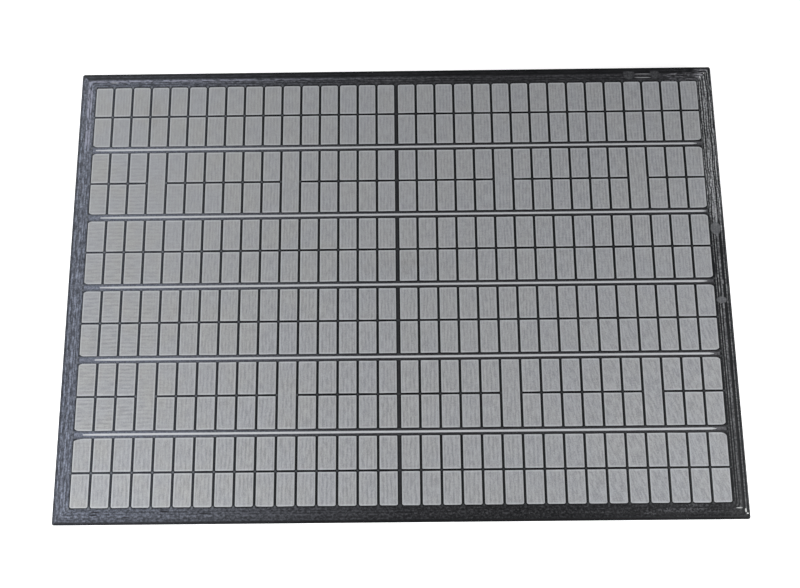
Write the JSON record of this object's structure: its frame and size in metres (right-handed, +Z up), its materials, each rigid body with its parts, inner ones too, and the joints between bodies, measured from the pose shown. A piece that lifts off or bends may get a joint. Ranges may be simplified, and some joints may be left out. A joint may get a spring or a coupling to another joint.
{
  "type": "shaker screen",
  "caption": "Flat shaker screen panel for solids control: a black moulded composite grid frame fused through a stack of steel wire cloths, with a reinforcing steel skeleton inside.",
  "frame": {"origin": "centre of the underside of the panel", "axes": "+X along the panel's 1067 mm length, +Y across its 737 mm width, +Z up through the cloths"},
  "size_m": [1.067, 0.737, 0.025],
  "materials": {
    "frame_plastic": "satin, slightly glossy where moulded",
    "fine_cloth": "fine woven stainless wire, matte grey from a step away",
    "middle_cloth": "woven stainless wire",
    "backing_cloth": "coarse woven stainless wire",
    "skeleton_steel": "plain rolled steel"
  },
  "bodies": {
    "root": {"frame": "frame_plastic", "top_mesh": "fine_cloth", "middle_mesh": "middle_cloth", "backing_mesh": "backing_cloth", "side_bar_front": "skeleton_steel", "side_bar_back": "skeleton_steel", "end_bar_left": "skeleton_steel", "end_bar_right": "skeleton_steel", "cross_bar": "skeleton_steel", "band_bar_1": "skeleton_steel", "band_bar_2": "skeleton_steel", "band_bar_3": "skeleton_steel", "band_bar_4": "skeleton_steel", "band_bar_5": "skeleton_steel"}
  },
  "joints": []
}
